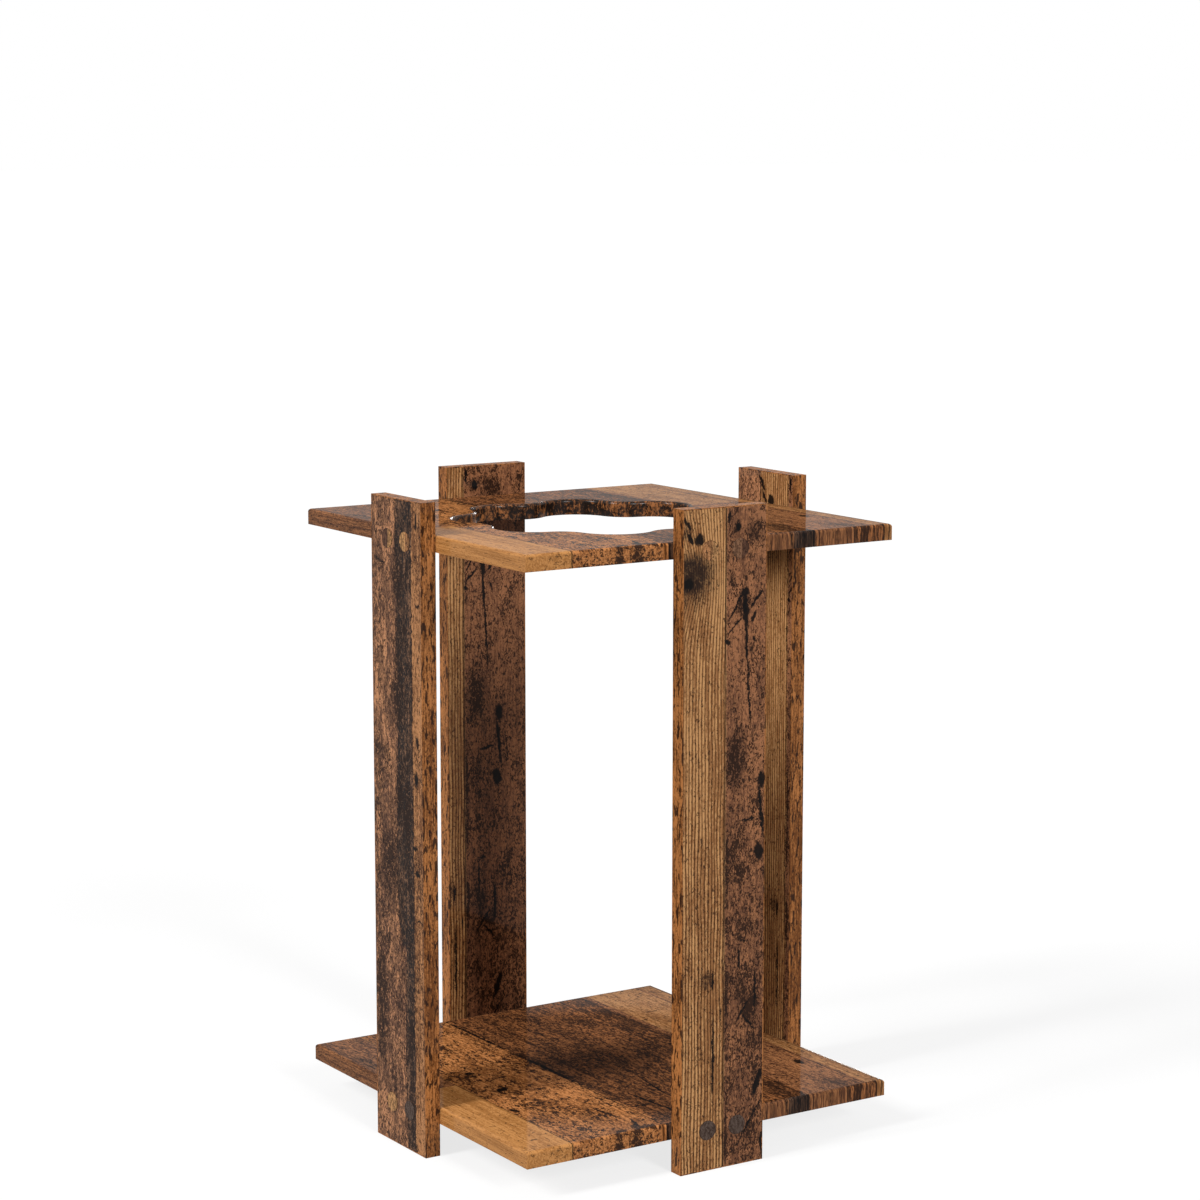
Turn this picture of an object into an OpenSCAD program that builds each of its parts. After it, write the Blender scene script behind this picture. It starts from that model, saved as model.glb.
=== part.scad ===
// Free-standing rod rack: two square boards held between four flat legs.
// The top board has a scalloped opening with a row of rod places round it.
// Millimetres, +Z up, origin on the floor at the middle of the rack.
// The front side is -Y, the left side is -X.

/* [Rack] */
// Height of the legs
leg_h = 600; // [400:5:900]
// Side of the two square boards, edging included
board_side = 393; // [360:1:480]
// Thickness of the two boards
board_t = 15; // [13:0.5:25]
// Gap between the floor and the base board
base_gap = 30; // [5:1:90]
// Height of the legs above the top board
leg_rise = 30; // [5:1:90]

/* [Legs] */
// Width of each leg, edging included
leg_w = 90; // [60:1:150]
// Thickness of each leg
leg_t = 15; // [12:0.5:22]
// Thickness of the edging on the legs
leg_edging_t = 1; // [0.4:0.1:2]

/* [Board edging] */
// Thickness of the edging around the boards and in the opening
board_edging_t = 3; // [3:0.5:5]
// Radius of the rounded upper arris of the boards
arris_r = 3; // [0.5:0.25:3]

/* [Opening] */
// Number of rod places around the opening
rod_places = 8; // [6:1:10]
// Distance from the middle of the opening to the middle of a rod place
rod_place_offset = 98; // [92:1:104]
// Radius of each rod place
rod_place_r = 35; // [30:1:38]
// Radius of the rounded nose between two rod places
nose_r = 30; // [24:1:50]

/* [Screws] */
// Distance between the two screws of a joint
screw_spacing = 32; // [24:1:50]
// Length of a screw
screw_len = 50; // [40:1:58]
// Diameter of the screw head
head_d = 10; // [9:0.1:12]
// Height of the straight rim of the screw head
head_rim_h = 0.8; // [0.4:0.1:1.2]
// Depth of the screw head below the face of the leg
head_sink = 0.4; // [0.2:0.1:1.5]
// Diameter of the smooth collar below the head
collar_d = 6.8; // [6.6:0.1:7.6]
// Outside diameter of the thread
thread_d = 6.4; // [5.8:0.1:6.5]
// Diameter of the core of the thread
core_d = 4.6; // [4:0.1:5]
// Pitch of the thread
thread_pitch = 3; // [2:0.25:4]
// Length of the tapered tip
tip_len = 4; // [2:0.5:6]
// Width across flats of the hexagon socket
socket_af = 4; // [3:0.5:5]
// Depth of the hexagon socket
socket_depth = 3.5; // [2:0.5:5]
// Space around a screw in its hole, on each side
screw_clear = 0.1; // [0.05:0.05:0.2]
// Space beyond the tip of a screw
bore_spare = 1.5; // [0.5:0.5:4]

/* [Screw covers] */
// Diameter of the stick-on disc over each screw
cover_d = 18; // [14:0.5:22]
// Thickness of the disc
cover_t = 0.5; // [0.3:0.1:1]
// Radius of the disc's rounded rim
cover_rim_r = 0.2; // [0.1:0.05:0.3]

/* [Hidden] */
$fn = 96;
SIDES = ["front", "left", "back", "right"];
SIDE_TURN = [0, -90, 180, 90];
BOARDS = ["top", "base"];
TOP = 0;
BASE = 1;

cut_over = 1;                              // how far a cutting tool runs past a face
board_half = board_side / 2;
leg_face = board_half + leg_t;             // distance from the middle to a leg's outer face
// Underside of each board, in the order of BOARDS
board_z = [leg_h - leg_rise - board_t, base_gap];

// Noses touch both neighbouring rod places, so their distance follows from the two radii
half_step = 180 / rod_places;
touch = rod_place_r + nose_r;
nose_offset = rod_place_offset * cos(half_step)
    + sqrt(pow(touch, 2) - pow(rod_place_offset * sin(half_step), 2));
// Half angles of the two kinds of arc, each seen from its own middle
place_half = atan2(nose_offset * sin(half_step), nose_offset * cos(half_step) - rod_place_offset);
nose_half = place_half - half_step;
// Straight steps in the arc of a rod place, in that of a nose and in the rounded arris
place_steps = 18;
nose_steps = 10;
arris_steps = 4;

head_cone_h = (head_d - collar_d) / 2;
collar_end = leg_t - head_sink;            // the collar fills the leg, the thread starts at the board
thread_len = screw_len - collar_end - tip_len;
thread_turns = floor(thread_len / thread_pitch);
crest_w = thread_pitch / 10;
flank_w = thread_pitch / 5;

// Material colours
pine = [0.72, 0.52, 0.32];
walnut = [0.45, 0.29, 0.19];
edge_brown = [0.58, 0.35, 0.2];
zinc = [0.75, 0.75, 0.72];
cover_brown = [0.36, 0.3, 0.26];

// Points of an arc, without its last one
function arc_points(middle, radius, from, to, steps) = [
    for (i = [0:steps - 1]) let (a = from + (to - from) * i / steps) middle + radius * [cos(a), sin(a)]
];

// Outline of the opening moved outwards by grow: rod places and noses in turn, once round
function opening_points(grow) = [
    for (i = [0:rod_places - 1])
        let (place = (2 * i + 1) * half_step, nose = (2 * i + 2) * half_step)
        each concat(
            arc_points(rod_place_offset * [cos(place), sin(place)], rod_place_r + grow,
                place - place_half, place + place_half, place_steps),
            arc_points(nose_offset * [cos(nose), sin(nose)], nose_r - grow,
                nose + 180 + nose_half, nose + 180 - nose_half, nose_steps)
        )
];

// Section of the opening's edging as [distance from the wall, height], rounded at the top
function edging_points() = concat(
    [[board_edging_t, 0], [0, 0]],
    [for (i = [0:arris_steps]) let (a = 90 * i / arris_steps)
        [arris_r - arris_r * cos(a), board_t - arris_r + arris_r * sin(a)]],
    board_edging_t > arris_r ? [[board_edging_t, board_t]] : []
);

// Turns a piece made for the front side to another side
module at_side(side) {
    rotate([0, 0, SIDE_TURN[side]]) children();
}

// Puts its children at both screws of a joint, with +Z pointing from the leg's outer face inwards
module at_screws(board) {
    for (sx = [-1, 1])
        translate([sx * screw_spacing / 2, -leg_face, board_z[board] + board_t / 2])
            rotate([-90, 0, 0]) children();
}

// Cuts the two holes of a joint through the leg, each with a seat for the screw head
module leg_holes(board) {
    head_r = head_d / 2 + screw_clear;
    collar_r = collar_d / 2 + screw_clear;
    seat_z = head_sink + head_rim_h;
    at_screws(board) rotate_extrude() polygon([
        [0, -cut_over], [head_r, -cut_over], [head_r, seat_z],
        [collar_r, seat_z + head_r - collar_r], [collar_r, leg_t + cut_over], [0, leg_t + cut_over]
    ]);
}

// Cuts the two blind holes of a joint for the threads, through the edging into the board
module thread_holes(board) {
    bore_end = head_sink + screw_len + bore_spare;
    at_screws(board) translate([0, 0, leg_t - cut_over])
        cylinder(r = thread_d / 2 + screw_clear, h = bore_end - leg_t + cut_over);
}

// Core panel of a leg
module leg() {
    color(walnut) difference() {
        translate([-leg_w / 2 + leg_edging_t, -leg_face, leg_edging_t])
            cube([leg_w - 2 * leg_edging_t, leg_t, leg_h - 2 * leg_edging_t]);
        for (b = [TOP, BASE]) leg_holes(b);
    }
}

// Edging strips on the two long edges of a leg
module leg_side_edging() {
    color(edge_brown) for (x = [-leg_w / 2, leg_w / 2 - leg_edging_t])
        translate([x, -leg_face, 0]) cube([leg_edging_t, leg_t, leg_h]);
}

// Edging strips on the foot and the tip of a leg
module leg_end_edging() {
    color(edge_brown) for (z = [0, leg_h - leg_edging_t])
        translate([-leg_w / 2 + leg_edging_t, -leg_face, z])
            cube([leg_w - 2 * leg_edging_t, leg_t, leg_edging_t]);
}

// Section of a straight edging strip: outer face at x = 0, material towards +x, rounded at the top
module edging_section() {
    difference() {
        square([board_edging_t, board_t]);
        difference() {
            translate([-cut_over, board_t - arris_r]) square([arris_r + cut_over, arris_r + cut_over]);
            translate([arris_r, board_t - arris_r]) circle(r = arris_r);
        }
    }
}

// One mitred strip of edging on the front of a board
module board_edging(board) {
    inner = board_half - board_edging_t;
    color(edge_brown) translate([0, 0, board_z[board]]) difference() {
        intersection() {
            translate([-board_half, -board_half, 0]) rotate([90, 0, 90])
                linear_extrude(board_side) edging_section();
            linear_extrude(board_t) polygon([
                [-board_half, -board_half], [board_half, -board_half], [inner, -inner], [-inner, -inner]
            ]);
        }
        translate([0, 0, -board_z[board]]) thread_holes(board);
    }
}

// Core panel of a board, inside its edging, with the thread holes of all four sides
module board_core(board) {
    inner = board_half - board_edging_t;
    difference() {
        translate([-inner, -inner, board_z[board]]) cube([2 * inner, 2 * inner, board_t]);
        for (side = [0:len(SIDES) - 1]) at_side(side) thread_holes(board);
    }
}

// Core panel of the base board
module base_board() {
    color(walnut) board_core(BASE);
}

// Core panel of the top board, cut out to the back of the opening's edging
module top_board() {
    color(pine) difference() {
        board_core(TOP);
        translate([0, 0, board_z[TOP] - cut_over])
            linear_extrude(board_t + 2 * cut_over) polygon(opening_points(board_edging_t));
    }
}

// Edging around the opening, its section swept once round the outline
module opening_edging() {
    rings = [for (p = edging_points()) [for (q = opening_points(p[0])) [q[0], q[1], p[1]]]];
    levels = len(rings);
    around = len(rings[0]);
    color(edge_brown) translate([0, 0, board_z[TOP]]) polyhedron(
        [for (ring = rings) each ring],
        [for (j = [0:levels - 1], i = [0:around - 1])
            let (above = (j + 1) % levels, next = (i + 1) % around)
            [j * around + i, j * around + next, above * around + next, above * around + i]]
    );
}

// Half section of a screw: head on top at y = 0, tip downwards in +y
module screw_section() {
    head_r = head_d / 2;
    collar_r = collar_d / 2;
    core_r = core_d / 2;
    tip_z = screw_len - tip_len;
    first_turn = collar_end + (thread_len - thread_turns * thread_pitch) / 2;
    polygon([
        [0, 0], [head_r, 0], [head_r, head_rim_h], [collar_r, head_rim_h + head_cone_h],
        [collar_r, collar_end], [core_r, collar_end],
        for (i = [0:thread_turns - 1]) let (z = first_turn + i * thread_pitch) each [
            [core_r, z + flank_w / 2], [thread_d / 2, z + 3 * flank_w / 2],
            [thread_d / 2, z + 3 * flank_w / 2 + crest_w], [core_r, z + 5 * flank_w / 2 + crest_w]
        ],
        [core_r, tip_z], [core_r / 3, screw_len], [0, screw_len]
    ]);
}

// The two screws of a joint
module screws(board) {
    color(zinc) at_screws(board) translate([0, 0, head_sink]) difference() {
        rotate_extrude() screw_section();
        translate([0, 0, -cut_over])
            cylinder(d = socket_af / cos(30), h = socket_depth + cut_over, $fn = 6);
    }
}

// The two stick-on discs over the screws of a joint
module covers(board) {
    color(cover_brown) at_screws(board) mirror([0, 0, 1]) rotate_extrude() {
        square([cover_d / 2 - cover_rim_r, cover_t]);
        square([cover_d / 2, cover_t - cover_rim_r]);
        translate([cover_d / 2 - cover_rim_r, cover_t - cover_rim_r]) circle(r = cover_rim_r);
    }
}

for (i = [0:len(SIDES) - 1]) at_side(i) {
    leg();
    leg_side_edging();
    leg_end_edging();
    for (b = [TOP, BASE]) {
        screws(b);
        covers(b);
        board_edging(b);
    }
}
top_board();
base_board();
opening_edging();
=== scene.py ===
"""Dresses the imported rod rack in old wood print, and sets up its stage and camera."""

import math
from collections import namedtuple

import bmesh
import bpy
from bpy.props import FloatProperty, FloatVectorProperty, IntProperty, PointerProperty
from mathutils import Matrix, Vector


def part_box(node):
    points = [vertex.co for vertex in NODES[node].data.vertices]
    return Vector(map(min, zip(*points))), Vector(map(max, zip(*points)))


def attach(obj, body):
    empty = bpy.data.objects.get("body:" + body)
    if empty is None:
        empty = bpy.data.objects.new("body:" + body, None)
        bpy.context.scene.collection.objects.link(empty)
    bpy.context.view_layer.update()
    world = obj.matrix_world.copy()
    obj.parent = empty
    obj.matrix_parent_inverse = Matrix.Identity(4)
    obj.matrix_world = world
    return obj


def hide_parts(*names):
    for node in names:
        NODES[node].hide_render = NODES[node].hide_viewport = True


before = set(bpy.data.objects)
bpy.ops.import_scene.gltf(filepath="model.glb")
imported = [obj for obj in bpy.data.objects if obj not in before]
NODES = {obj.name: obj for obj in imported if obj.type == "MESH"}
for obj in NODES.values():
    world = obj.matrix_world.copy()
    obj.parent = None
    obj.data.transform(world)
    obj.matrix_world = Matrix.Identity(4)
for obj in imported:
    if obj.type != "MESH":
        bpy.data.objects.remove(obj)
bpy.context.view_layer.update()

bl_info = {
    "name": "Rod Rack",
    "version": (1, 0, 0),
    "blender": (4, 5, 0),
    "location": "View3D > Sidebar > Rod Rack",
    "description": "Dresses a rod rack in old wood print, edging, screws and covers",
    "category": "Object",
}

MM = 0.001
SIDES = ("front", "left", "back", "right")
# How far each side is turned from the front one, in degrees
SIDE_TURN = {"front": 0, "left": -90, "back": 180, "right": 90}
BOARDS = ("top", "base")

BOARD_LOW, BOARD_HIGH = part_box("top_board")
EDGING_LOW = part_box("top_board_front_edging")[0]
LEG_LOW, LEG_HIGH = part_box("front_leg_side_edging")
BOARD_HALF = -EDGING_LOW.y
LEG_WIDTH = LEG_HIGH.x - LEG_LOW.x
LEG_THICKNESS = LEG_HIGH.y - LEG_LOW.y
COVERS_LOW, COVERS_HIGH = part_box("front_top_covers")
COVER_WIDTH = COVERS_HIGH.z - COVERS_LOW.z
BOARD_THICKNESS = BOARD_HIGH.z - BOARD_LOW.z
UNDERSIDE = {board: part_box(board + "_board")[0].z for board in BOARDS}


def tone(red, green, blue):
    """A colour given as it is seen, from 0 to 255, turned into the linear one of a socket."""
    shares = [c / 255 for c in (red, green, blue)]
    return tuple(c / 12.92 if c <= 0.04045 else ((c + 0.055) / 1.055) ** 2.4 for c in shares)


# The tones of the print: name, what it is on, and its light and its dark shade
TONES = (
    ("pine", "ribbed pine plank", (190, 141, 92), (142, 97, 59)),
    ("tan", "light tan plank", (185, 130, 76), (151, 101, 54)),
    ("red", "red-brown plank", (153, 103, 70), (105, 69, 49)),
    ("umber", "brown plank beside the charcoal one", (186, 131, 92), (100, 69, 53)),
    ("coal", "charcoal plank", (132, 95, 70), (38, 34, 33)),
    ("speckled", "speckled orange-brown plank", (184, 122, 72), (122, 75, 40)),
    ("smoked", "dark brown plank", (148, 94, 56), (62, 38, 24)),
    ("brown", "mid-brown plank", (148, 98, 62), (84, 52, 35)),
    ("sand", "pale plank beside the charcoal one", (180, 126, 82), (108, 70, 44)),
    ("ash", "grey-brown screw cover", (88, 73, 65), (42, 35, 33)),
    ("honey", "dull tan plank", (168, 120, 76), (122, 80, 46)),
    ("burnt", "nearly black plank", (92, 66, 50), (26, 21, 20)),
    ("edge", "edging strip", (172, 112, 63), (104, 62, 31)),
    ("wall", "edging in the opening", (140, 88, 50), (24, 16, 12)),
)
# Dark tones on the planks: cracks and gaps, specks, stains and knots, grooves between the ribs
SOOT = tone(15, 13, 13)
SPECK = tone(40, 25, 18)
SMUDGE = tone(32, 24, 22)
GROOVE = tone(76, 46, 25)

# A plank of the print: where it starts across the sheet, its tone, and how strong its ribs, its
# specks and its torn patches are
Plank = namedtuple("Plank", "start tone ribs specks patches")
# An ellipse on the sheet in millimetres, its tilt in degrees
Mark = namedtuple("Mark", "across along half_width half_length tilt")


def tone_properties():
    """The light and the dark shade of every tone as colour properties."""
    made = {}
    for name, use, light, dark in TONES:
        for kind, colour in (("light", light), ("dark", dark)):
            made[f"{name}_{kind}"] = FloatVectorProperty(
                name=f"{name} {kind}".capitalize(),
                description=f"{kind.capitalize()} shade of the {use}",
                subtype="COLOR",
                size=3,
                min=0.0,
                max=1.0,
                default=tone(*colour),
            )
    return made


class RackTones(bpy.types.PropertyGroup):
    """Shades of the printed wood"""

    __annotations__ = tone_properties()


class RackPrint(bpy.types.PropertyGroup):
    """Grain and gloss of the printed wood"""

    rib_pitch: FloatProperty(
        name="Rib pitch",
        description="Distance between two ribs of the pine plank",
        default=3.4 * MM,
        min=1 * MM,
        max=10 * MM,
        unit="LENGTH",
    )
    gloss: FloatProperty(
        name="Gloss",
        description="Strength of the clear topcoat over the print",
        default=0.21,
        min=0.0,
        max=1.0,
        subtype="FACTOR",
    )
    gloss_blur: FloatProperty(
        name="Gloss blur",
        description="Roughness of the clear topcoat",
        default=0.06,
        min=0.0,
        max=1.0,
        subtype="FACTOR",
    )


class RackOpening(bpy.types.PropertyGroup):
    """Shape of the edging in the top board's opening"""

    places: IntProperty(
        name="Rod places",
        description="Number of rod places around the opening",
        default=8,
        min=6,
        max=10,
    )
    place_offset: FloatProperty(
        name="Place offset",
        description="Distance from the middle of the opening to the middle of a rod place",
        default=98 * MM,
        unit="LENGTH",
    )
    place_radius: FloatProperty(
        name="Place radius",
        description="Radius of each rod place",
        default=35 * MM,
        unit="LENGTH",
    )
    nose_radius: FloatProperty(
        name="Nose radius",
        description="Radius of the nose between two rod places",
        default=30 * MM,
        unit="LENGTH",
    )
    strip: FloatProperty(
        name="Strip thickness",
        description="Thickness of the strip, and radius of its rounded arris",
        default=3 * MM,
        unit="LENGTH",
    )


class Value:
    """One output of a node tree that can be used in arithmetic."""

    def __init__(self, finish, socket):
        self.finish = finish
        self.socket = socket

    def __add__(self, other):
        return self.finish.math("ADD", self, other)

    __radd__ = __add__

    def __sub__(self, other):
        return self.finish.math("SUBTRACT", self, other)

    def __rsub__(self, other):
        return self.finish.math("SUBTRACT", other, self)

    def __mul__(self, other):
        return self.finish.math("MULTIPLY", self, other)

    __rmul__ = __mul__

    def __truediv__(self, other):
        return self.finish.math("DIVIDE", self, other)

    def __rtruediv__(self, other):
        return self.finish.math("DIVIDE", other, self)

    def __gt__(self, other):
        return self.finish.math("GREATER_THAN", self, other)

    def __lt__(self, other):
        return self.finish.math("LESS_THAN", self, other)


class Finish:
    """A node tree in the making."""

    def __init__(self, owner):
        owner.use_nodes = True
        self.tree = owner.node_tree
        self.tree.nodes.clear()

    def node(self, kind, sockets=None, output=0, stops=None, blend="LINEAR", **settings):
        """Adds a node: its settings and ramp stops, then the values and links of its sockets."""
        made = self.tree.nodes.new("ShaderNode" + kind)
        for name, setting in settings.items():
            setattr(made, name, setting)
        if stops:
            made.color_ramp.interpolation = blend
            elements = made.color_ramp.elements
            while len(elements) > 1:
                elements.remove(elements[-1])
            for count, (place, colour) in enumerate(stops):
                element = elements[0] if count == 0 else elements.new(place)
                element.position = place
                element.color = tuple(colour)[:3] + (1.0,)
        for name, value in (sockets or {}).items():
            socket = made.inputs[name]
            if isinstance(value, Value):
                self.tree.links.new(value.socket, socket)
            elif socket.type == "RGBA":
                socket.default_value = tuple(value)[:3] + (1.0,)
            else:
                socket.default_value = value
        return Value(self, made.outputs[output]) if made.outputs else None

    def outputs(self, value):
        """All outputs of the node that a value comes from, in its order."""
        return [Value(self, socket) for socket in value.socket.node.outputs]

    def math(self, operation, first, second=0.0):
        return self.node("Math", {0: first, 1: second}, operation=operation)

    def smooth(self, value, low, high):
        """0 below low and 1 above high, with a soft step between them."""
        return self.node("MapRange", {0: value, 1: low, 2: high}, interpolation_type="SMOOTHSTEP")

    def join(self, x, y, z):
        return self.node("CombineXYZ", {0: x, 1: y, 2: z})

    def scaled(self, point, scale):
        return self.node("VectorMath", {0: point, 1: scale}, operation="MULTIPLY")

    def length(self, vector):
        return self.node("VectorMath", {0: vector}, output=1, operation="LENGTH")

    def noise(self, point, scale, detail=2.0, roughness=0.5, distortion=0.0, output=0):
        """Noise with its own scale along each axis, in features a millimetre."""
        return self.node(
            "TexNoise",
            {
                "Vector": self.scaled(point, scale),
                "Scale": 1.0,
                "Detail": detail,
                "Roughness": roughness,
                "Distortion": distortion,
            },
            output=output,
        )

    def mix(self, factor, first, second):
        """Colour between first and second."""
        return self.node("Mix", {0: factor, 6: first, 7: second}, output=2, data_type="RGBA")

    def nearest(self, point, marks):
        """Distance to the nearest mark, 1 at its edge."""
        near = None
        for mark in marks:
            place = point
            middle = (mark.across, mark.along, 0.0)
            if mark.tilt:
                turn = {"Vector": point, "Center": middle, "Angle": -math.radians(mark.tilt)}
                place = self.node("VectorRotate", turn, rotation_type="Z_AXIS")
            share = (1 / mark.half_width, 1 / mark.half_length, 0.0)
            shift = (-middle[0] * share[0], -middle[1] * share[1], 0.0)
            sockets = {0: place, 1: share, 2: shift}
            away = self.length(self.node("VectorMath", sockets, operation="MULTIPLY_ADD"))
            near = away if near is None else self.math("MINIMUM", near, away)
        return near

    def surface(self, colour, roughness, height, relief, **constants):
        """Ends the tree in a Principled surface, with relief in metres for a height of 1."""
        bump = self.node("Bump", {"Height": height, "Strength": 1.0, "Distance": relief})
        sockets = {"Base Color": colour, "Roughness": roughness, "Normal": bump}
        sockets.update({name.replace("_", " "): value for name, value in constants.items()})
        shader = self.node("BsdfPrincipled", sockets)
        self.node("OutputMaterial", {"Surface": shader})


def new_material(name):
    material = bpy.data.materials.new(name)
    return material, Finish(material)


def dress(material, *nodes):
    """Gives CAD nodes a material."""
    for node in nodes:
        slots = NODES[node].data.materials
        slots.clear()
        slots.append(material)


def shade(name, kind):
    """A tone's light or dark shade."""
    return tuple(getattr(bpy.context.scene.rack_tones, f"{name}_{kind}"))


def millimetres(finish, side="front"):
    """The point on the object in millimetres, turned as if its side were the front one."""
    return finish.node(
        "Mapping",
        {
            "Vector": finish.node("TexCoord", output=3),
            "Rotation": (0.0, 0.0, -math.radians(SIDE_TURN[side])),
            "Scale": (1 / MM, 1 / MM, 1 / MM),
        },
        vector_type="POINT",
    )


def split_millimetres(finish, side="front"):
    """The x, y and z of the point in millimetres."""
    return finish.outputs(finish.node("SeparateXYZ", {0: millimetres(finish, side)}))[:3]


def printed_wood(
    finish, across, depth, along, planks, end,
    marks=None, ragged=0.0, wear=None, knot=None, pores=0.44,
):
    """Colour and flaws of planks laid side by side.

    across and along are millimetres over the sheet, and depth is millimetres into it. end is where
    the last plank ends. marks are ellipses by kind. ragged is 1 where the planks' borders are torn.
    wear is 1 where the wood is darker and has more specks. knot pushes the ribs aside. pores is
    the number of specks a millimetre.
    """
    point = finish.join(across, depth, along)
    broad = finish.noise(point, (0.045, 0.1, 0.012), detail=3.0)
    streaks = finish.noise(point, (0.38, 0.3, 0.025), detail=4.0, roughness=0.62)
    blotches = finish.noise(point, (0.17, 0.2, 0.075), detail=5.0, roughness=0.74, distortion=0.5)
    fine = finish.noise(point, (0.55, 0.55, 0.27), detail=4.0, roughness=0.72)
    fray = finish.noise(point, (0.22, 0.2, 0.1), detail=4.0, roughness=0.7)
    border = across + (fray - 0.5) * (1.5 + 9 * ragged) + (broad - 0.5) * (0.6 + 4 * ragged)
    if ragged:
        # The charcoal plank is wider from about a third of the height up
        beside = finish.smooth(finish.math("ABSOLUTE", across - COAL_BORDER), *COAL_REACH)
        border = border + finish.smooth(along, *COAL_RISE) * beside * COAL_WIDENING

    first = planks[0].start
    span = end - first
    place = (border - first) / span

    def by_plank(pick):
        stops = [((plank.start - first) / span, pick(plank)) for plank in planks]
        return finish.node("ValToRGB", {0: place}, stops=stops, blend="CONSTANT")

    light = by_plank(lambda plank: shade(plank.tone, "light"))
    dark = by_plank(lambda plank: shade(plank.tone, "dark"))
    shares = by_plank(lambda plank: (plank.ribs, plank.specks, plank.patches))
    ribs, specks, patches = finish.outputs(finish.node("SeparateColor", {0: shares}))[:3]
    if wear is None:
        wear = broad * 0.3
    marks = marks or {}
    sheet = finish.join(across, along, 0.0)
    sway = finish.noise(point, (0.22, 0.22, 0.17), detail=6.0, roughness=0.78, output=1)
    sway = finish.node("VectorMath", {0: sway, 1: (0.5, 0.5, 0.5)}, operation="SUBTRACT")
    frayed = finish.node("VectorMath", {0: sway, 1: (9, 12, 0), 2: sheet}, operation="MULTIPLY_ADD")
    torn = (blotches - 0.5) * 3.2 + (fine - 0.5) * 2.6 + (streaks - 0.5) * 2.0

    # Streaks of the grain over broad lighter and darker areas
    level = 0.56 + (streaks - 0.5) * (2.4 + ribs * 1.6) + (broad - 0.5) * 1.6
    level = level + (fine - 0.5) * (3.0 + patches * 3.4)
    level = level + (blotches - 0.5) * (0.8 + patches * 2.4) - wear * 0.12
    if marks.get("glows"):
        glow = finish.smooth(1.2 - finish.nearest(frayed, marks["glows"]) + torn * 0.3, 0.1, 0.8)
        level = level + glow * 0.6
    colour = finish.mix(finish.smooth(level, 0.08, 0.92), dark, light)

    # Ribs of weathered pine, pushed aside by a knot
    lines = across + (finish.noise(point, (0.05, 0.05, 0.012), detail=1.0) - 0.5) * 5
    if knot:
        rise = (along - knot.along) / knot.half_length
        push = finish.math("EXPONENT", rise * rise * -1.0)
        lines = lines - push * (knot.half_width - across * (knot.half_width / RIBBED_WIDTH))
    pitch = bpy.context.scene.rack_print.rib_pitch / MM
    swing = finish.math("SINE", lines * (2 * math.pi / pitch) + (streaks - 0.5) * 1.6)
    dashes = finish.noise(point, (0.3, 0.3, 0.13), detail=4.0, roughness=0.7)
    groove = finish.smooth(swing + (dashes - 0.5) * 1.2, -0.25, 1.0) * ribs
    colour = finish.mix(groove * (blotches * 0.5 + wear * 0.15 + 0.53), colour, GROOVE)

    # Knots with rings, and stains that fill with specks
    thick = wear * 0.025 + swing * ribs * 0.025
    if marks.get("knots"):
        away = finish.nearest(frayed, marks["knots"])
        core = finish.smooth(1.2 - away + torn * 0.22, 0.1, 0.75)
        rings = finish.math("SINE", away * 15 + (blotches - 0.5) * 16)
        colour = finish.mix(core * (rings * 0.07 + 0.88), colour, SMUDGE)
    if marks.get("stains"):
        stain = finish.smooth(1.25 - finish.nearest(frayed, marks["stains"]) + torn * 0.4, 0.1, 0.9)
        colour = finish.mix(stain * 0.45, colour, SMUDGE)
        thick = thick + stain * 0.1

    # Smoky areas with a torn outline
    clouds = finish.noise(point, (0.075, 0.2, 0.03), detail=7.0, roughness=0.78, distortion=0.7)
    smoke = finish.smooth(clouds + patches * 0.14 - 0.12, 0.46, 0.53) * patches
    colour = finish.mix(smoke * 0.8, colour, finish.mix(0.5, dark, SOOT))

    # Saw marks, worm-like specks and winding cracks
    pore_scale = (pores, pores, pores * 0.6)
    speck_noise = finish.noise(point, pore_scale, detail=3.0, roughness=0.66, distortion=1.2)
    clumps = finish.noise(point, (0.045, 0.05, 0.03), detail=4.0, roughness=0.72, distortion=0.4)
    thick = thick + ((clumps - 0.5) * 0.5 + 0.095) * specks
    speck = finish.smooth(speck_noise + thick, 0.62, 0.66)
    fleck = finish.smooth(speck_noise, 0.4, 0.34) * (patches * 0.6 + 0.2)
    colour = finish.mix(fleck, colour, light)
    colour = finish.mix(speck * (specks * 0.25 + 0.7), colour, SPECK)
    scratches = finish.noise(point, (0.9, 0.5, 0.045), detail=3.0, roughness=0.6, distortion=0.3)
    scratch = finish.smooth(scratches + (clumps - 0.5) * 0.4, 0.64, 0.69)
    scratch = scratch * finish.smooth(patches, 0.1, 0.4)
    colour = finish.mix(scratch * 0.85, colour, SPECK)
    ridge_noise = finish.noise(point, (0.1, 0.1, 0.022), detail=4.0, roughness=0.6, distortion=0.9)
    ridge = finish.math("ABSOLUTE", ridge_noise - 0.5)
    split = (1 - finish.smooth(ridge, 0.006, 0.02)) * finish.smooth(blotches, 0.46, 0.56)
    split = split * finish.smooth(patches, 0.15, 0.5)
    colour = finish.mix(split * 0.9, colour, SOOT)

    # Dark gaps between the planks
    near = None
    for plank in planks[1:]:
        away = finish.math("ABSOLUTE", border - plank.start)
        near = away if near is None else finish.math("MINIMUM", near, away)
    worn = finish.smooth(broad + blotches, 0.8, 1.05) * (0.35 + ragged * 0.65) + 0.65 * (1 - ragged)
    gap = finish.smooth(near, 0.9, 0.3) * worn
    colour = finish.mix(gap * 0.9, colour, SOOT)

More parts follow.
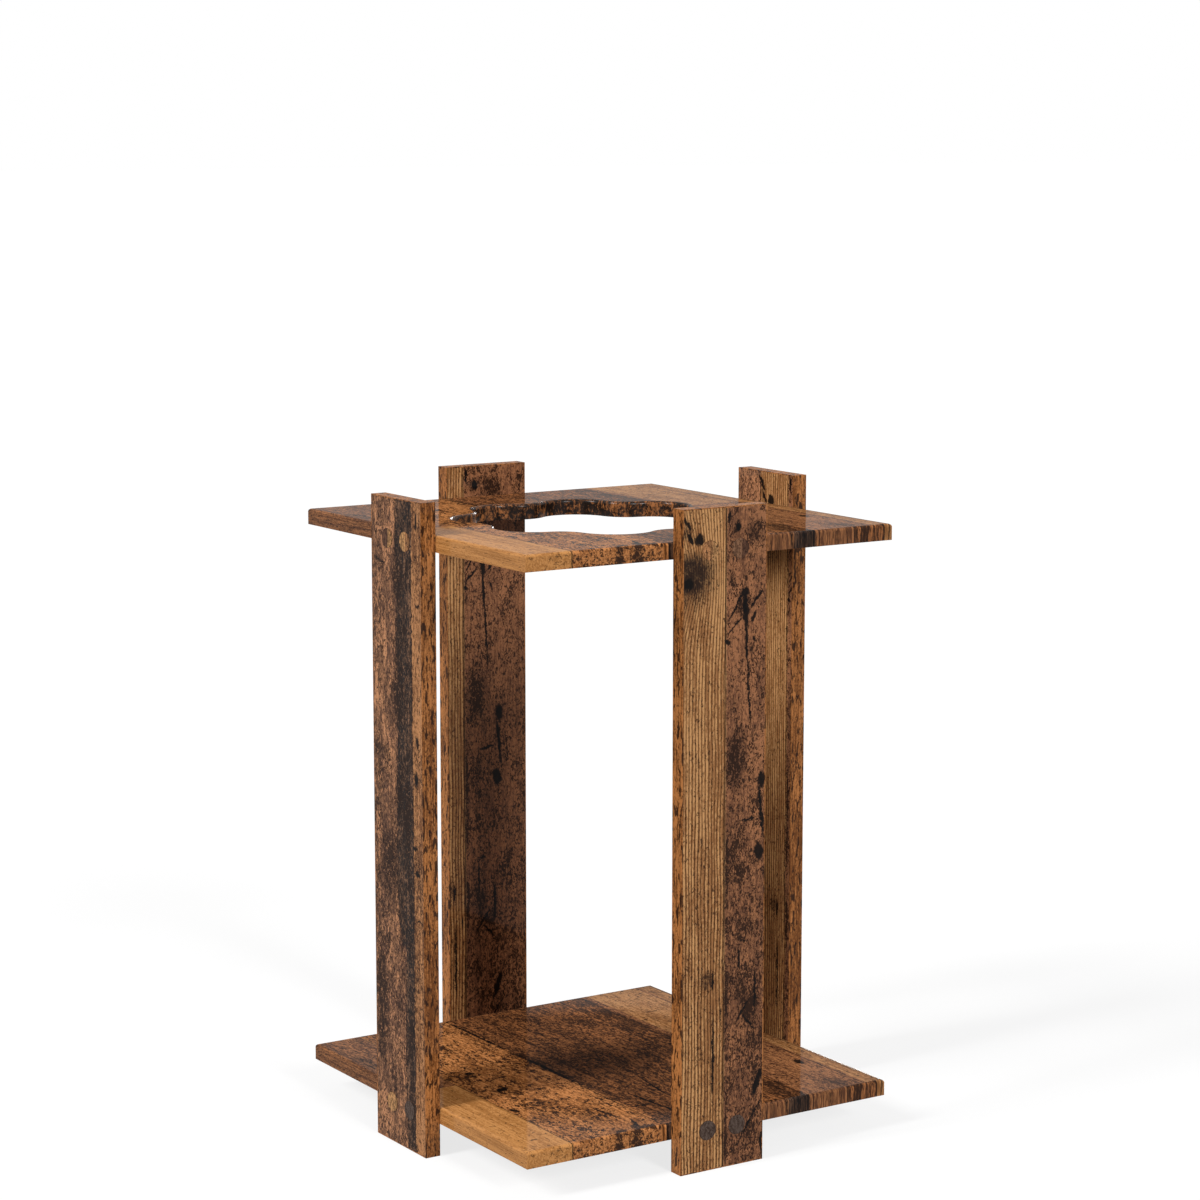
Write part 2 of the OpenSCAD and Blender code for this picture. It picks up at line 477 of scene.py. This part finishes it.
    # Cracks with a frayed edge
    flaw = finish.math("MAXIMUM", speck * 0.6, gap * 0.8)
    if marks.get("cracks"):
        crack = 1 - finish.smooth(finish.nearest(frayed, marks["cracks"]), 0.75, 1.2)
        colour = finish.mix(crack * 0.97, colour, SOOT)
        flaw = finish.math("MAXIMUM", flaw, crack)
    return colour, finish.math("MAXIMUM", flaw, groove * 0.4)


def wood_surface(finish, colour, flaw, gloss=1.0, blur=1.0):
    """Satin print under a thin clear topcoat, gloss and blur times as strong as on the panels."""
    look = bpy.context.scene.rack_print
    finish.surface(
        colour,
        flaw * 0.2 + 0.55,
        1 - flaw,
        0.05 * MM,
        Specular_IOR_Level=0.0,
        Coat_Weight=gloss * look.gloss,
        Coat_Roughness=look.gloss_blur * blur,
        Coat_IOR=1.36,
    )


# One long sheet of print, from which every leg panel takes a part. Millimetres across the sheet.
LEG_PLANKS = (
    Plank(-60, "umber", 0.0, 0.7, 0.7),
    Plank(0, "pine", 1.0, 0.35, 0.08),
    Plank(46, "red", 0.0, 0.95, 0.3),
    Plank(132, "pine", 0.6, 0.4, 0.1),
    Plank(190, "umber", 0.0, 0.8, 0.85),
    Plank(257, "coal", 0.0, 0.9, 0.95),
    Plank(271.5, "sand", 0.1, 0.6, 0.3),
)
LEG_SHEET_END = 320
RIBBED_WIDTH = 46
# Panels that are cut from TORN_START on have torn borders, and their charcoal plank is wider higher
# up: over COAL_RISE its left border shifts by COAL_WIDENING, in full within the second COAL_REACH
# of COAL_BORDER and not at all past the first one.
TORN_START = 190
COAL_BORDER = 243
COAL_REACH = (18, 6)
COAL_RISE = (150, 240)
COAL_WIDENING = 13
LEG_MARKS = {
    "cracks": (
        Mark(17.6, 572.6, 5.4, 5.4, 0),
        Mark(4, 588, 2.2, 9, 35),
        Mark(8, 574, 1.6, 6, 35),
        Mark(6, 534, 6, 5, 0),
        Mark(49, 590, 1.8, 8, 0),
        Mark(59, 581, 3.6, 4.2, 0),
        Mark(67, 523, 4.6, 4.0, 0),
        Mark(67.5, 506, 3.6, 18, 3),
        Mark(68.5, 478, 1.8, 22, 3),
        Mark(71, 440, 1.2, 42, 3),
        Mark(57, 510, 1.3, 16, -32),
        Mark(55, 493, 1.3, 12, -45),
        Mark(78, 515, 1.3, 9, -38),
        Mark(83, 520, 1.2, 5, -38),
        Mark(76, 500, 1.8, 6, -25),
        Mark(48.5, 480, 2.5, 2.5, 0),
        Mark(77, 481, 1.6, 3, 20),
        Mark(86, 352, 4.5, 8, 0),
        Mark(85.5, 325, 1.8, 26, 6),
        Mark(71, 318, 9, 1.3, 8),
        Mark(83.5, 287, 5.2, 8.5, 12),
        Mark(33.5, 174, 1.4, 9, 0),
        Mark(42.5, 143, 1.1, 6, 0),
        Mark(34.3, 104, 1.3, 38, 0),
        Mark(66, 142, 1.3, 14, -38),
        Mark(73, 131, 1.2, 11, 42),
        Mark(80, 160, 1.8, 18, 0),
        Mark(62, 190, 1.2, 14, 0),
        Mark(66, 207, 4, 1.2, 10),
        Mark(83, 74, 2.9, 14, -20),
        Mark(76, 40, 0.9, 32, -34),
        Mark(88.5, 17, 2.5, 9, 0),
        Mark(215, 541, 9, 1.1, -15),
        Mark(276, 285, 5, 2.2, 10),
        Mark(279, 262, 5, 2.6, -10),
        Mark(281, 383, 2.6, 6, 0),
        Mark(278, 350, 3, 7, 0),
        Mark(283, 507, 3.4, 1.6, 0),
        Mark(281, 583, 2, 9, 0),
        Mark(282, 218, 5, 1.2, 0),
    ),
    "stains": (
        Mark(5, 578, 5, 8, 20),
        Mark(14, 537, 30, 27, 25),
        Mark(57, 580, 6, 9, 0),
        Mark(78, 576, 11, 13, 0),
        Mark(52, 538, 5, 9, 10),
        Mark(64, 514, 6, 12, 0),
        Mark(58, 372, 12, 30, 0),
        Mark(62, 272, 4, 6, 20),
        Mark(48.5, 270, 2.5, 60, 0),
        Mark(48.5, 160, 2.5, 34, 0),
        Mark(48.5, 30, 2.5, 32, 0),
        Mark(64, 160, 8, 20, 0),
        Mark(75, 143, 9, 16, 0),
        Mark(27, 176, 8, 9, 0),
        Mark(246, 530, 13, 40, 0),
        Mark(247, 430, 10, 60, 0),
        Mark(248, 335, 9, 34, 0),
        Mark(262, 320, 8, 60, 0),
        Mark(255, 350, 12, 16, 0),
        Mark(266, 90, 4, 90, 0),
        Mark(211, 125, 12, 75, 0),
        Mark(215, 130, 8, 14, 40),
        Mark(229, 262, 20, 52, 0),
        Mark(278, 345, 5, 7, 0),
    ),
    "knots": (
        Mark(7, 541, 27, 23, 20),
        Mark(208, 366, 7, 8, 0),
    ),
    "glows": (
        Mark(27, 566, 9, 5, 0),
        Mark(78, 562, 9, 7, 0),
        Mark(82, 380, 8, 22, 0),
        Mark(40, 520, 4, 20, 10),
        Mark(220, 455, 8, 60, 0),
        Mark(230, 362, 9, 24, 0),
        Mark(208, 582, 2, 8, 0),
        Mark(240, 160, 3, 9, 0),
        Mark(243, 80, 6, 26, 0),
    ),
}

# The knot that pushes the ribs aside: how far at the leg's edge, and over which length
LEG_KNOT = Mark(0, 543, 17, 42, 0)

# How far past a leg's edges a mark may lie and still be drawn on it
MARK_REACH = 8
# The legs are worn up to the first height, and not at all from the second one up
WORN_HEIGHT = (230, 430)

# What each leg shows outside and inside: where on the sheet its left edge lies, seen from that side
LEG_CUTS = {
    "front": (0, -36),
    "left": (200, 110),
    "back": (-30, 27),
    "right": (190, -36),
}


def leg_material(side):
    """Print of one leg panel: another part of the sheet outside and inside."""
    material, finish = new_material(f"old_wood_{side}_leg")
    x, y, z = split_millimetres(finish, side)
    depth = y * -1 - BOARD_HALF / MM
    width = LEG_WIDTH / MM
    outside, inside = LEG_CUTS[side]
    inner = depth < LEG_THICKNESS / MM / 2
    across = x + width / 2
    across = (across + outside) * (1 - inner) + (width - across + inside) * inner

    def shows(mark):
        places = (mark.across - outside, mark.across - inside)
        return any(-MARK_REACH < place < width + MARK_REACH for place in places)

    marks = {kind: [mark for mark in group if shows(mark)] for kind, group in LEG_MARKS.items()}
    ragged = 1.0 if outside >= TORN_START else 0.0
    wear = 1 - finish.smooth(z, *WORN_HEIGHT)
    knot = LEG_KNOT if outside == 0 else None
    colour, flaw = printed_wood(
        finish, across, depth, z, LEG_PLANKS, LEG_SHEET_END,
        marks, ragged=ragged, wear=wear, knot=knot,
    )
    wood_surface(finish, colour, flaw)
    return material


# The sheet of both boards, across from the left edge. Its last planks show only behind a butt joint:
# for each of BOARD_BUTTS, between its first two places across and past its third one along, the
# sheet jumps by BUTT_SHIFT.
BOARD_PLANKS = (
    Plank(-10, "tan", 0.15, 0.15, 0.05),
    Plank(47, "speckled", 0.0, 1.0, 0.35),
    Plank(144, "smoked", 0.0, 0.8, 0.6),
    Plank(278, "smoked", 0.0, 0.6, 0.9),
    Plank(303, "brown", 0.0, 0.5, 0.4),
    Plank(371, "honey", 0.2, 0.4, 0.2),
    Plank(389, "brown", 0.1, 0.4, 0.2),
    Plank(396, "brown", 0.0, 0.6, 0.55),
    Plank(450, "honey", 0.1, 0.4, 0.25),
)
BOARD_SHEET_END = 860
BOARD_PORES = 0.27
BOARD_BUTTS = ((-10, 47, 203), (312, 371, 215))
BUTT_SHIFT = 402
# The boards' front and back edges, with two dark stains. From BAR_START on they show upright bars,
# because the grain keeps only BAR_CHANGE of its change over the height.
BAR_START = 141
BAR_CHANGE = 0.08
END_PLANKS = (
    Plank(-10, "tan", 0.0, 0.3, 0.1),
    Plank(47, "speckled", 0.0, 0.9, 0.3),
    Plank(143, "burnt", 0.0, 0.2, 0.5),
    Plank(153, "umber", 0.0, 0.5, 0.5),
    Plank(240, "brown", 0.0, 0.6, 0.5),
    Plank(279, "burnt", 0.0, 0.3, 0.8),
    Plank(304, "brown", 0.3, 0.5, 0.3),
    Plank(350, "smoked", 0.0, 0.7, 0.8),
    Plank(384, "honey", 0.0, 0.3, 0.1),
)
END_MARKS = {"stains": (Mark(96, 0, 4.5, 12, 0), Mark(115, 0, 6, 12, 0))}
# The topcoat of the base board's face is dull in the middle: from how far out to how near, and which
# share of the gloss is gone there
DULL_REACH = (215, 150)
DULLNESS = 0.85
BOARD_MARKS = {
    "cracks": (
        Mark(75, 227, 5, 4, 0),
        Mark(76, 168, 7, 4.5, 20),
        Mark(53, 108, 3.5, 6, 15),
        Mark(146, 200, 2.0, 60, 0),
        Mark(145, 330, 1.6, 50, 0),
        Mark(125, 20, 2, 12, -20),
        Mark(172, 60, 1.6, 40, 6),
        Mark(200, 100, 1.4, 30, -8),
        Mark(118, 60, 1.2, 24, 8),
        Mark(158, 58, 12, 1.2, 0),
        Mark(250, 80, 1.5, 50, 4),
        Mark(338, 150, 1.4, 30, 0),
        Mark(360, 90, 4, 8, 0),
        Mark(24, 28, 4, 1.0, 10),
    ),
    "stains": (
        Mark(150, 200, 9, 120, 0),
        Mark(100, 6, 8, 14, 0),
        Mark(125, 6, 14, 14, 0),
        Mark(290, 40, 14, 60, 0),
        Mark(352, 20, 10, 16, 0),
        Mark(415, 300, 8, 40, 0),
    ),
}


def board_material(board, part):
    """Print of one board's face, ends or sides. On the ends the planks stop in upright bars."""
    material, finish = new_material(f"old_wood_{board}_board_{part}")
    x, y, z = split_millimetres(finish)
    across = x + BOARD_HALF / MM
    along = y + BOARD_HALF / MM
    height = z - UNDERSIDE[board] / MM
    if part == "ends":
        depth = height * (1 - (across > BAR_START) * (1 - BAR_CHANGE))
        colour, flaw = printed_wood(
            finish, across, depth, along, END_PLANKS, BOARD_SHEET_END, END_MARKS, pores=BOARD_PORES
        )
        wood_surface(finish, colour, flaw)
        return material
    sheet = across
    for low, high, butt in BOARD_BUTTS:
        inside = (across > low) * (across < high) * (along > butt)
        sheet = sheet + inside * BUTT_SHIFT
    marks, depth = (BOARD_MARKS, height) if part == "face" else (None, height * 3.0)
    colour, flaw = printed_wood(
        finish, sheet, depth, along, BOARD_PLANKS, BOARD_SHEET_END, marks, pores=BOARD_PORES
    )
    gloss = 1.0
    if board == "base" and part == "face":
        from_middle = finish.length(finish.join(x, y, 0.0))
        gloss = 1 - finish.smooth(from_middle, *DULL_REACH) * DULLNESS
    wood_surface(finish, colour, flaw, gloss)
    return material


# Long edging of the legs: name, tint and sides. The tint of the strips on their feet and tips.
EDGING_TINTS = (("light", 0.6, ("front", "back")), ("dark", 0.42, ("left", "right")))
END_TINT = 0.55


def edging_material(name, lengthwise, tint):
    """Print of the legs' strips: orange-brown with dark dashes, lighter with a higher tint."""
    material, finish = new_material(name)
    point = millimetres(finish)
    across, along = (0.45, 0.035) if lengthwise else (0.25, 0.3)
    streaks = finish.noise(point, (across * 1.6, across * 1.6, along), detail=5.0, roughness=0.65)
    broad = finish.noise(point, (0.04, 0.04, 0.015), detail=3.0)
    fine = finish.noise(point, (0.6, 0.6, 0.4), detail=2.0, roughness=0.7)
    level = tint + (streaks - 0.5) * 3.0 + (broad - 0.5) * 1.5 + (fine - 0.5) * 1.6
    lightness = finish.smooth(level, 0.1, 0.9)
    colour = finish.mix(lightness, shade("edge", "dark"), shade("edge", "light"))
    scale = (across * 0.7, across * 0.7, along * 2.2)
    dash = finish.smooth(finish.noise(point, scale, distortion=0.4), 0.57, 0.6)
    scale = (across * 1.5, across * 1.5, along * 7)
    tick = finish.smooth(finish.noise(point, scale, distortion=0.8), 0.55, 0.62) * 0.75
    flaw = finish.math("MAXIMUM", dash, tick)
    colour = finish.mix(flaw * 0.92, colour, SPECK)
    wood_surface(finish, colour, flaw)
    return material


def wall_material():
    """Print of the strip in the opening: dark with orange-brown streaks that run up the wall."""
    material, finish = new_material("old_wood_opening")
    point = millimetres(finish)
    streaks = finish.noise(point, (0.42, 0.42, 0.2), detail=5.0, roughness=0.72, distortion=0.9)
    blotches = finish.noise(point, (0.1, 0.1, 0.1), detail=6.0, roughness=0.78, distortion=0.6)
    broad = finish.noise(point, (0.02, 0.02, 0.01), detail=2.0)
    level = 0.3 + (streaks - 0.5) * 3.4 + (blotches - 0.5) * 3.6 + (broad - 0.5) * 1.2
    lightness = finish.smooth(level, 0.1, 1.0)
    colour = finish.mix(lightness, shade("wall", "dark"), shade("wall", "light"))
    flaw = finish.smooth(streaks + blotches, 1.1, 0.85)
    wood_surface(finish, colour, flaw, gloss=2.2, blur=4.0)
    return material


# Tones of the two covers of each joint, seen from outside: the left cover's halves, then the
# right one's
COVER_TONES = {
    ("front", "top"): (("sand", "light"), ("pine", "light"), ("coal", "light"), ("umber", "dark")),
    ("front", "base"): (("ash", "light"), ("ash", "light"), ("ash", "light"), ("ash", "light")),
    ("left", "top"): (("umber", "dark"), ("pine", "light"), ("pine", "light"), ("sand", "light")),
    ("left", "base"): (("pine", "light"), ("pine", "light"), ("ash", "light"), ("ash", "light")),
    ("back", "top"): (("umber", "light"), ("umber", "dark"), ("tan", "dark"), ("red", "light")),
    ("back", "base"): (("coal", "light"), ("umber", "dark"), ("umber", "light"), ("coal", "dark")),
    ("right", "top"): (("red", "light"), ("red", "dark"), ("coal", "dark"), ("umber", "light")),
    ("right", "base"): (("umber", "light"), ("tan", "dark"), ("red", "dark"), ("coal", "dark")),
}
COVER_SPACING = (COVERS_HIGH.x - COVERS_LOW.x - COVER_WIDTH) / MM


def cover_material(side, board):
    """Print of a joint's two discs: each is cut from another spot, so its halves may differ."""
    material, finish = new_material(f"old_wood_{side}_{board}_covers")
    x, y, z = split_millimetres(finish, side)
    point = finish.join(x, y, z)
    low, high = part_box(f"{side}_{board}_covers")
    centre = (low.z + high.z) / 2 / MM
    right = x > 0
    from_centre = x - right * COVER_SPACING + COVER_SPACING / 2
    streaks = finish.noise(point, (0.5, 0.5, 0.09), detail=5.0, roughness=0.65, distortion=0.3)
    patches = finish.noise(point, (0.16, 0.16, 0.1), detail=5.0, roughness=0.7, distortion=0.6)
    half = finish.smooth(from_centre + (patches - 0.5) * 6, 0.0, 3.0)
    tones = [shade(*pair) for pair in COVER_TONES[side, board]]
    left_disc = finish.mix(half, tones[0], tones[1])
    right_disc = finish.mix(half, tones[2], tones[3])
    colour = finish.mix(right, left_disc, right_disc)
    dim = finish.smooth(streaks + (patches - 0.5) * 0.8, 0.4, 0.6)
    colour = finish.mix((1 - dim) * 0.6, colour, SPECK)
    dots = finish.noise(point, (0.6, 0.6, 0.45), detail=3.0, roughness=0.7, distortion=0.8)
    colour = finish.mix(finish.smooth(dots, 0.52, 0.58) * 0.8, colour, SPECK)
    rise = z - centre
    away = finish.math("SQRT", from_centre * from_centre + rise * rise)
    rim = finish.smooth(away, COVER_WIDTH / MM / 2 - 0.8, COVER_WIDTH / MM / 2)
    colour = finish.mix(rim * 0.35, colour, SOOT)
    wood_surface(finish, colour, (1 - dim) * 0.5)
    return material


def screw_material():
    """Bright zinc plating with faint mottling and a fine bump."""
    material, finish = new_material("zinc_plating")
    point = millimetres(finish)
    spots = finish.noise(point, (0.8, 0.8, 0.8), detail=5.0, roughness=0.6)
    fine = finish.noise(point, (4.0, 4.0, 4.0), detail=2.0)
    colour = finish.mix(finish.smooth(spots, 0.3, 0.7), (0.46, 0.47, 0.46), (0.62, 0.62, 0.58))
    finish.surface(colour, spots * 0.25 + 0.22, fine, 0.01 * MM, Metallic=1.0)
    return material


# Steps of the strip's arcs round a place, round a nose and over the arris. Where its faces meet at
# more than SHARP_ANGLE degrees, the edge is shaded sharp.
PLACE_STEPS = 28
NOSE_STEPS = 17
ARRIS_STEPS = 6
SHARP_ANGLE = 35


def opening_strip():
    """The strip in the opening as one piece: its section is spun round each place and nose."""
    sizes = bpy.context.scene.rack_opening
    half_step = math.pi / sizes.places
    touch = sizes.place_radius + sizes.nose_radius
    across = sizes.place_offset * math.sin(half_step)
    if touch <= across:
        raise ValueError("The places and noses are too small to meet")
    nose_offset = sizes.place_offset * math.cos(half_step) + math.sqrt(touch**2 - across**2)
    place_half = math.atan2(
        nose_offset * math.sin(half_step), nose_offset * math.cos(half_step) - sizes.place_offset
    )
    nose_half = place_half - half_step
    floor = UNDERSIDE["top"]
    up = Vector((0, 0, 1))

    def polar(radius, angle):
        return Vector((radius * math.cos(angle), radius * math.sin(angle), 0))

    mesh = bmesh.new()
    start = half_step - place_half
    outwards = polar(1, start)
    first_middle = polar(sizes.place_offset, half_step)

    def section_point(depth, height):
        return first_middle + outwards * (sizes.place_radius + depth) + up * (floor + height)

    shoulder_height = BOARD_THICKNESS - sizes.strip
    foot = mesh.verts.new(section_point(0, 0))
    shoulder = mesh.verts.new(section_point(0, shoulder_height))
    mesh.edges.new((foot, shoulder))
    turned = bmesh.ops.spin(
        mesh,
        geom=[shoulder],
        cent=section_point(sizes.strip, shoulder_height),
        axis=up.cross(outwards),
        dvec=(0, 0, 0),
        angle=math.pi / 2,
        steps=ARRIS_STEPS,
    )
    crown = next(item for item in turned["geom_last"] if isinstance(item, bmesh.types.BMVert))
    heel = mesh.verts.new(section_point(sizes.strip, 0))
    mesh.edges.new((crown, heel))
    mesh.edges.new((heel, foot))
    section = mesh.verts[:] + mesh.edges[:]
    for count in range(sizes.places):
        place_angle = (2 * count + 1) * half_step
        nose_angle = place_angle + half_step
        for centre, angle, steps in (
            (polar(sizes.place_offset, place_angle), 2 * place_half, PLACE_STEPS),
            (polar(nose_offset, nose_angle), -2 * nose_half, NOSE_STEPS),
        ):
            section = bmesh.ops.spin(
                mesh, geom=section, cent=centre, axis=up, dvec=(0, 0, 0), angle=angle, steps=steps
            )["geom_last"]
    bmesh.ops.remove_doubles(mesh, verts=mesh.verts[:], dist=0.001 * MM)
    bmesh.ops.recalc_face_normals(mesh, faces=mesh.faces[:])
    data = bpy.data.meshes.new("opening_strip")
    mesh.to_mesh(data)
    mesh.free()
    data.polygons.foreach_set("use_smooth", [True] * len(data.polygons))
    data.set_sharp_from_angle(angle=math.radians(SHARP_ANGLE))
    piece = bpy.data.objects.new("opening_strip", data)
    bpy.context.scene.collection.objects.link(piece)
    return piece


class RACK_OT_legs(bpy.types.Operator):
    """Prints the four leg panels"""

    bl_idname = "rack.legs"
    bl_label = "Leg panels"

    def execute(self, context):
        for side in SIDES:
            dress(leg_material(side), side + "_leg")
        return {"FINISHED"}


class RACK_OT_leg_edging(bpy.types.Operator):
    """Prints the edging strips of the legs"""

    bl_idname = "rack.leg_edging"
    bl_label = "Leg edging"

    def execute(self, context):
        for name, tint, sides in EDGING_TINTS:
            material = edging_material(f"edging_long_{name}", True, tint)
            dress(material, *(side + "_leg_side_edging" for side in sides))
        material = edging_material("edging_end", False, END_TINT)
        dress(material, *(side + "_leg_end_edging" for side in SIDES))
        return {"FINISHED"}


class RACK_OT_boards(bpy.types.Operator):
    """Prints the two boards with their edging"""

    bl_idname = "rack.boards"
    bl_label = "Boards and their edging"

    def execute(self, context):
        for board in BOARDS:
            name = board + "_board"
            dress(board_material(board, "face"), name)
            dress(board_material(board, "ends"), name + "_front_edging", name + "_back_edging")
            dress(board_material(board, "sides"), name + "_left_edging", name + "_right_edging")
        return {"FINISHED"}


class RACK_OT_opening(bpy.types.Operator):
    """Makes the strip in the top board's opening"""

    bl_idname = "rack.opening"
    bl_label = "Edging in the opening"

    def execute(self, context):
        piece = opening_strip()
        piece.data.materials.append(wall_material())
        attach(piece, "root")
        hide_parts("opening_edging")
        return {"FINISHED"}


class RACK_OT_fasteners(bpy.types.Operator):
    """Plates the screws and prints their covers"""

    bl_idname = "rack.fasteners"
    bl_label = "Screws and covers"

    def execute(self, context):
        zinc = screw_material()
        for side in SIDES:
            for board in BOARDS:
                dress(zinc, f"{side}_{board}_screws")
                dress(cover_material(side, board), f"{side}_{board}_covers")
        return {"FINISHED"}


class RACK_OT_stage(bpy.types.Operator):
    """Makes the floor, the lights and the camera"""

    bl_idname = "rack.stage"
    bl_label = "Stage"

    def execute(self, context):
        make_floor()
        make_world()
        for softbox in SOFTBOXES:
            make_softbox(*softbox)
        make_camera()
        return {"FINISHED"}


# The stage, in metres and degrees. The floor lies FLOOR_GAP below the feet, and shows FLOOR_WHITE
# of the white background and the rest in its own shade.
FLOOR_HALF = 60.0
FLOOR_GAP = 0.1 * MM
FLOOR_WHITE = 0.78
SKY_STRENGTH = 0.3
# Name, strength, azimuth and elevations of the lights. Azimuth 0 is on the -Y side.
SOFTBOXES = (
    ("left_softbox", 2.95, -90.0, (32.0, 39.0, 46.0)),
    ("front_softbox", 2.3, 0.0, (22.0, 32.0)),
    ("back_fill", 1.2, 135.0, (10.0,)),
)
SUN_SPREAD = 12
CAMERA_PLACE = (-1.5753, -2.4401, 0.9282)
CAMERA_DIP = 8.565
CAMERA_TURN = -32.95
CAMERA_LENS = 94.3


def make_floor():
    """A plain pale floor out to the horizon."""
    mesh = bmesh.new()
    bmesh.ops.create_grid(mesh, x_segments=1, y_segments=1, size=FLOOR_HALF)
    bmesh.ops.translate(mesh, verts=mesh.verts[:], vec=(0, 0, -FLOOR_GAP))
    data = bpy.data.meshes.new("floor")
    mesh.to_mesh(data)
    mesh.free()
    floor = bpy.data.objects.new("floor", data)
    bpy.context.scene.collection.objects.link(floor)
    material, finish = new_material("pale_floor")
    grey = finish.node("BsdfDiffuse", {"Color": (0.3, 0.3, 0.3)})
    pale = finish.node("BsdfDiffuse", {"Color": (0.9, 0.9, 0.9)})
    white = finish.node("Emission", {"Color": (1.0, 1.0, 1.0), "Strength": 1.0})
    shown = finish.node("MixShader", {0: FLOOR_WHITE, 1: pale, 2: white})
    shader = finish.node("MixShader", {0: seen_rays(finish), 1: grey, 2: shown})
    finish.node("OutputMaterial", {"Surface": shader})
    data.materials.append(material)


def seen_rays(finish):
    """1 for rays that show the surroundings: from the camera, off gloss or through glass."""
    path = finish.node("LightPath")
    rays = {socket.name: Value(finish, socket) for socket in path.socket.node.outputs}
    seen = finish.math("MAXIMUM", rays["Is Camera Ray"], rays["Is Glossy Ray"])
    return finish.math("MAXIMUM", seen, rays["Is Transmission Ray"])


def make_world():
    """A dim even sky for the light, and white behind the rack."""
    world = bpy.data.worlds.new("studio")
    bpy.context.scene.world = world
    finish = Finish(world)
    light = finish.node("Background", {"Color": (1.0, 1.0, 1.0), "Strength": SKY_STRENGTH})
    white = finish.node("Background", {"Color": (1.0, 1.0, 1.0), "Strength": 1.0})
    shader = finish.node("MixShader", {0: seen_rays(finish), 1: light, 2: white})
    finish.node("OutputWorld", {"Surface": shader})


def make_softbox(name, strength, azimuth, elevations):
    """A tall soft light from afar, as suns one above another."""
    for count, elevation in enumerate(elevations):
        data = bpy.data.lights.new(f"{name}_{count}", "SUN")
        data.energy = strength / len(elevations)
        data.angle = math.radians(SUN_SPREAD)
        lamp = bpy.data.objects.new(data.name, data)
        lamp.rotation_euler = (math.radians(90 - elevation), 0, math.radians(azimuth))
        bpy.context.scene.collection.objects.link(lamp)


def make_camera():
    """The camera at the photograph's viewing angle."""
    data = bpy.data.cameras.new("camera")
    data.lens = CAMERA_LENS
    data.sensor_width = 36.0
    data.clip_end = 200.0
    camera = bpy.data.objects.new("camera", data)
    camera.location = CAMERA_PLACE
    camera.rotation_euler = (math.radians(90 - CAMERA_DIP), 0, math.radians(CAMERA_TURN))
    bpy.context.scene.collection.objects.link(camera)
    bpy.context.scene.camera = camera


class RACK_PT_panel(bpy.types.Panel):
    """Sizes, colours and steps of the rod rack"""

    bl_idname = "RACK_PT_panel"
    bl_label = "Rod Rack"
    bl_space_type = "VIEW_3D"
    bl_region_type = "UI"
    bl_category = "Rod Rack"

    def draw(self, context):
        scene = context.scene
        for group in (scene.rack_tones, scene.rack_print, scene.rack_opening):
            box = self.layout.box()
            for name in group.__annotations__:
                box.prop(group, name)
        for operator in STEPS:
            self.layout.operator(operator.bl_idname)


STEPS = (
    RACK_OT_legs,
    RACK_OT_leg_edging,
    RACK_OT_boards,
    RACK_OT_opening,
    RACK_OT_fasteners,
    RACK_OT_stage,
)
GROUPS = {"rack_tones": RackTones, "rack_print": RackPrint, "rack_opening": RackOpening}


def register():
    for group in GROUPS.values():
        bpy.utils.register_class(group)
    for name, group in GROUPS.items():
        setattr(bpy.types.Scene, name, PointerProperty(type=group))
    for item in STEPS + (RACK_PT_panel,):
        bpy.utils.register_class(item)


def unregister():
    for item in (RACK_PT_panel,) + STEPS[::-1]:
        bpy.utils.unregister_class(item)
    for name, group in GROUPS.items():
        delattr(bpy.types.Scene, name)
        bpy.utils.unregister_class(group)


def main():
    register()
    bpy.context.scene.view_settings.view_transform = "Standard"
    bpy.ops.rack.legs()
    bpy.ops.rack.leg_edging()
    bpy.ops.rack.boards()
    bpy.ops.rack.opening()
    bpy.ops.rack.fasteners()
    bpy.ops.rack.stage()


if __name__ == "__main__":
    main()
